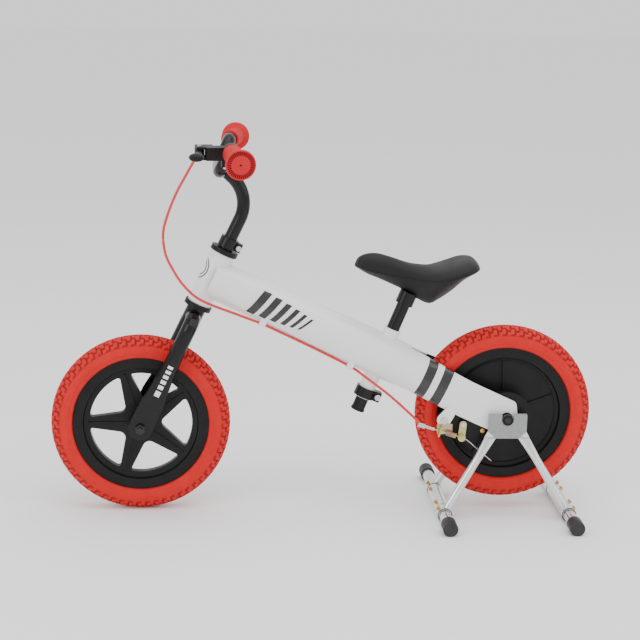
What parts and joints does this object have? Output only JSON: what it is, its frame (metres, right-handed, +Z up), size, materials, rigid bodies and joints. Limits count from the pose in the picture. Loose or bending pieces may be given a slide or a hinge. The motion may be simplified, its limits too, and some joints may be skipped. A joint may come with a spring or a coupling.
{
  "type": "balance bicycle on stand",
  "caption": "Child balance bicycle with foam tyres, a hand-operated rear band brake and a height-set saddle, its rear axle resting in a slotted tubular display stand.",
  "frame": {"origin": "on the floor, half way between the wheel axles, in the middle plane of the bicycle", "axes": "+X towards the rear wheel, -Y the brake side, +Z up"},
  "size_m": [0.9132, 0.392, 0.6353],
  "materials": {
    "tyre_red": "matt moulded foam",
    "plastic_black": "satin",
    "steel_black": "gloss",
    "steel_white": "gloss",
    "zinc": "zinc plated",
    "gold_zinc": "yellow zinc plated",
    "stand_steel": "bright plated",
    "plate_grey": "satin",
    "rubber_black": "matt",
    "grip_red": "matt",
    "cable_red": "gloss",
    "saddle_black": "matt cover",
    "plastic_white": "gloss"
  },
  "bodies": {
    "stand": {"cross_tubes": "stand_steel", "joiner_sleeves": "stand_steel", "joiner_screws": "gold_zinc", "rubber_feet": "rubber_black"},
    "left_side": {"left_plate": "plate_grey", "left_legs": "stand_steel", "left_screws": "gold_zinc"},
    "right_side": {"right_plate": "plate_grey", "right_legs": "stand_steel", "right_screws": "gold_zinc"},
    "axle": {"rear_axle": "zinc", "rear_nuts": "zinc", "axle_caps": "plastic_black"},
    "rear_wheel": {"rear_tyre": "tyre_red", "rear_rim": "plastic_black", "rear_bearings": "zinc", "brake_drum": "steel_black"},
    "frame": {"head_tube": "steel_white", "main_tube": "steel_white", "seat_tube": "steel_white", "left_stay": "steel_white", "right_stay": "steel_white", "cable_guides": "plastic_white", "headset_cups": "plastic_black", "seat_clamp": "steel_black", "frame_bolts": "zinc", "brake_tab": "steel_white", "brake_cover": "plastic_black", "cable_stop": "gold_zinc", "rear_adjuster": "zinc", "rear_cable": "cable_red", "front_cable_lower": "cable_red"},
    "fork": {"steerer": "steel_black", "left_blade": "steel_black", "right_blade": "steel_black", "stem_collar": "steel_black", "stem_bolt": "zinc", "front_axle": "zinc", "front_nuts": "steel_black"},
    "front_wheel": {"front_tyre": "tyre_red", "front_rim": "plastic_black", "front_bearings": "zinc"},
    "handlebar": {"riser": "steel_black", "crossbar": "steel_black", "left_grip": "grip_red", "right_grip": "grip_red", "lever_bracket": "plastic_black", "lever_adjuster": "zinc", "lever_bolts": "zinc", "front_cable_upper": "cable_red"},
    "brake_lever": {"brake_lever": "plastic_black"},
    "seat": {"seat_post": "steel_black", "post_plug": "plastic_black", "saddle_bracket": "steel_black", "saddle_shell": "plastic_black", "saddle_pad": "saddle_black"},
    "brake_arm": {"brake_arm": "gold_zinc", "wire_clamp": "gold_zinc", "brake_wire": "zinc", "return_spring": "gold_zinc"}
  },
  "joints": [
    {"name": "left_side_slide", "type": "slide", "parent": "stand", "child": "left_side", "axis": [0, -1, 0], "range_m": [0, 0.03]},
    {"name": "right_side_slide", "type": "slide", "parent": "stand", "child": "right_side", "axis": [0, 1, 0], "range_m": [0, 0.03]},
    {"name": "lift_off", "type": "slide", "parent": "stand", "child": "axle", "axis": [0, 0, 1], "range_m": [0, 0.18]},
    {"name": "frame_pitch", "type": "hinge", "parent": "axle", "child": "frame", "pos_m": [0.3066, 0, 0.169], "axis": [0, 1, 0], "range_deg": [0, 25]},
    {"name": "rear_wheel_spin", "type": "hinge", "parent": "axle", "child": "rear_wheel", "pos_m": [0.3066, 0, 0.169], "axis": [0, 1, 0], "continuous": true},
    {"name": "steering", "type": "hinge", "parent": "frame", "child": "fork", "pos_m": [-0.19004, 0, 0.39742], "axis": [0.4262, 0, 0.9046], "range_deg": [-45, 45], "deforming": ["front_cable_lower"]},
    {"name": "front_wheel_spin", "type": "hinge", "parent": "fork", "child": "front_wheel", "pos_m": [-0.3066, 0, 0.15], "axis": [0, 1, 0], "continuous": true},
    {"name": "bar_height", "type": "slide", "parent": "fork", "child": "handlebar", "axis": [0.4262, 0, 0.9046], "range_m": [0, 0.04], "deforming": ["front_cable_upper"]},
    {"name": "lever_pull", "type": "hinge", "parent": "handlebar", "child": "brake_lever", "pos_m": [-0.21039, -0.0914, 0.61739], "axis": [0.0077, -0.0588, 0.9982], "range_deg": [0, 14], "stiffness_Nm_per_rad": 0.4, "springref_deg": -14.32},
    {"name": "seat_height", "type": "slide", "parent": "frame", "child": "seat", "axis": [0.3742, 0, 0.9273], "range_m": [-0.04, 0.018]},
    {"name": "brake_arm_pull", "type": "hinge", "parent": "frame", "child": "brake_arm", "pos_m": [0.23289, -0.05, 0.15871], "axis": [0, 1, 0], "range_deg": [0, 17], "deforming": ["brake_wire", "return_spring"]}
  ],
  "couplings": [
    {"joint": "brake_arm_pull", "follows": "lever_pull", "ratio": 1.2}
  ]
}
